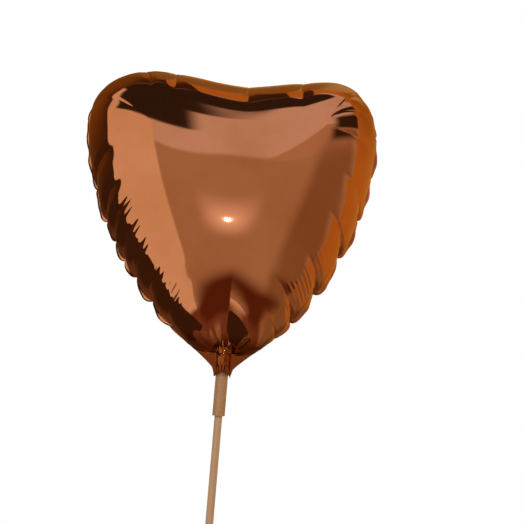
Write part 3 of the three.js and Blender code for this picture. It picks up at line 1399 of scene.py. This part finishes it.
@dataclass
class Studio:
    """Warm tones in the foil, a white surround, soft lights, a pale floor and the camera.

    Attributes:
        base: the tone around the foil where there is no card.
        surround_strength: the white surround's strength as a light.
        cards: patches of tone, each laid over the ones before.
        soft_lights: the lights.
        lights_aim: what they point at, in metres.
        floor_radius: the floor's radius, in millimetres.
        floor_sides: corners of the round floor.
        floor_drop: how far the floor lies below the stick, so that they don't touch.
        view_span: width of the view at the balloon, in metres.
        view_distance: from the camera to what it aims at, in metres.
        view_elevation: degrees it stands above what it aims at; below it, so it looks up.
        view_roll: degrees by which it is turned, so that the stick leans.
        view_sideways: how far it stands to the left, as a share of the distance.
        aim_right: millimetres to the right of the stick's axis that it aims.
        aim_below_top: millimetres below the top of the heart that it aims.
        sensor_width: millimetres.
    """

    base: str = "#B59778"
    surround_strength: float = 0.5
    cards: tuple[Card, ...] = CARDS
    soft_lights: tuple[SoftLight, ...] = (
        SoftLight("key_softbox", (-0.9, -1.2, 1.5), 0.7, 18.0, "#FFF1E2"),
        SoftLight("fill_softbox", (1.3, -0.6, 0.9), 0.9, 7.0, "#FFE2C2"),
        SoftLight("lamp", (-0.02, -1.6, 0.242), 0.022, 0.8, "#FFF6EC", in_foil=True),
    )
    lights_aim: tuple[float, float, float] = (0.0, 0.0, 0.4)
    floor_radius: float = 700.0
    floor_sides: int = 96
    floor_drop: float = 0.05
    view_span: float = 0.344
    view_distance: float = 0.555
    view_elevation: float = -7.6
    view_roll: float = 4.6
    view_sideways: float = 0.037
    aim_right: float = 19.9
    aim_below_top: float = 122.3
    sensor_width: float = 36.0

    def surround(self) -> None:
        """White all round, with soft patches of warm tone for mirror rays only."""
        world = bpy.data.worlds.new("studio_surround")
        bpy.context.scene.world = world
        world.use_nodes = True
        tree = world.node_tree
        tree.nodes.clear()
        place = add_node(tree, "TexCoord")
        parts = add_node(tree, "SeparateXYZ", {"Vector": place.outputs["Generated"]})
        elevation = add_node(tree, "Math", {0: parts.outputs["Z"]}, operation="ARCSINE")
        front = add_node(tree, "Math", {0: parts.outputs["Y"]}, operation="MULTIPLY", in_1=-1.0)
        azimuth = add_node(
            tree, "Math", {0: parts.outputs["X"], 1: front.outputs[0]}, operation="ARCTAN2"
        )
        colour = add_node(tree, "RGB")
        colour.outputs[0].default_value = linear(self.base)
        tone = colour.outputs[0]
        for card in self.cards:
            tone = self.lay_card(tree, card, azimuth.outputs[0], elevation.outputs[0], tone)
        seen = add_node(tree, "LightPath")
        strength = add_node(
            tree, "MapRange", {"Value": seen.outputs["Is Camera Ray"]},
            in_3=self.surround_strength, in_4=1.0,
        )
        white = add_node(
            tree, "Background", {"Strength": strength.outputs["Result"]}, in_Color=(1, 1, 1, 1),
        )
        warm = add_node(tree, "Background", {"Color": tone})
        both = add_node(
            tree, "MixShader",
            {0: seen.outputs["Is Glossy Ray"], 1: white.outputs[0], 2: warm.outputs[0]},
        )
        add_node(tree, "OutputWorld", {"Surface": both.outputs[0]})

    @staticmethod
    def lay_card(
        tree: bpy.types.NodeTree,
        card: Card,
        azimuth: bpy.types.NodeSocket,
        elevation: bpy.types.NodeSocket,
        under: bpy.types.NodeSocket,
    ) -> bpy.types.NodeSocket:
        """Lays one card over what is there.

        Args:
            tree: the world's nodes.
            card: the card.
            azimuth: the direction's azimuth in radians.
            elevation: its elevation in radians.
            under: the colour so far.

        Returns:
            The colour with the card on it.
        """
        leaned = add_node(
            tree, "Math", {0: elevation, 2: azimuth}, operation="MULTIPLY_ADD", in_1=-card.lean
        )
        masks = []
        for socket, middle, half in (
            (leaned.outputs[0], math.radians(card.azimuth), math.radians(card.width)),
            (elevation, math.radians(card.elevation), math.radians(card.height)),
        ):
            off = add_node(tree, "Math", {0: socket}, operation="SUBTRACT", in_1=middle)
            turn = add_node(
                tree, "Math", {0: off.outputs[0]}, operation="WRAP", in_1=math.pi, in_2=-math.pi
            )
            away = add_node(tree, "Math", {0: turn.outputs[0]}, operation="ABSOLUTE")
            mask = add_node(
                tree, "MapRange", {"Value": away.outputs[0]}, interpolation_type="SMOOTHSTEP",
                in_1=half * (1 - card.softness), in_2=half * (1 + card.softness), in_3=1.0, in_4=0.0,
            )
            masks.append(mask.outputs["Result"])
        both = add_node(tree, "Math", {0: masks[0], 1: masks[1]}, operation="MULTIPLY")
        laid = add_node(
            tree, "Mix", {0: both.outputs[0], 6: under},
            data_type="RGBA", label=card.name, in_7=linear(card.colour),
        )
        return laid.outputs[2]

    def floor(self) -> None:
        """A pale round floor under the stick."""
        turn = 2 * math.pi * np.arange(self.floor_sides) / self.floor_sides
        down = np.full(self.floor_sides, -self.floor_drop)
        ring = np.stack([self.floor_radius * np.cos(turn), self.floor_radius * np.sin(turn), down], axis=1)
        obj = mesh_object("studio_floor", ring, [tuple(range(self.floor_sides))], StudioFloor().make())
        obj.visible_glossy = False
        obj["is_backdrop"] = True

    def lights(self) -> None:
        """Two large soft lights and a small one that gives the foil its highlight."""
        for light in self.soft_lights:
            data = bpy.data.lights.new(light.name, "AREA")
            data.shape = "DISK"
            data.size = light.size
            data.energy = light.energy
            data.color = linear(light.colour)[:3]
            obj = bpy.data.objects.new(light.name, data)
            obj.location = light.place
            way = Vector(self.lights_aim) - Vector(light.place)
            obj.rotation_euler = way.to_track_quat("-Z", "Y").to_euler()
            obj.visible_camera = False
            obj.visible_glossy = light.in_foil
            bpy.context.scene.collection.objects.link(obj)

    def camera(self) -> None:
        """Looks slightly up at the heart from in front, rolled so that the stick leans."""
        elevation, roll = math.radians(self.view_elevation), math.radians(self.view_roll)
        level = math.cos(elevation)
        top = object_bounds()[1].z
        aim = Vector((self.aim_right * MM, 0, top - self.aim_below_top * MM))
        back = Vector((-self.view_sideways * level, -level, math.sin(elevation))).normalized()
        facing = (-back).to_track_quat("-Z", "Y").to_matrix() @ Matrix.Rotation(roll, 3, "Z")
        data = bpy.data.cameras.new("camera")
        data.sensor_width = self.sensor_width
        data.lens = self.sensor_width * self.view_distance / self.view_span
        camera = bpy.data.objects.new("camera", data)
        camera.matrix_world = Matrix.Translation(aim + back * self.view_distance) @ facing.to_4x4()
        bpy.context.scene.collection.objects.link(camera)
        bpy.context.scene.camera = camera

    def build(self) -> None:
        """Sets up everything that isn't the object."""
        bpy.context.scene.view_settings.view_transform = "Standard"
        self.camera()
        self.surround()
        self.floor()
        self.lights()


def main() -> None:
    """Builds the studio, the handle and the balloon, and reports each piece."""
    logging.basicConfig(level=logging.INFO, format="%(message)s")
    Studio().build()
    for obj in Handle().build() + Balloon().build():
        LOG.info("%s: %d vertices", obj.name, len(obj.data.vertices))


if __name__ == "__main__":
    main()
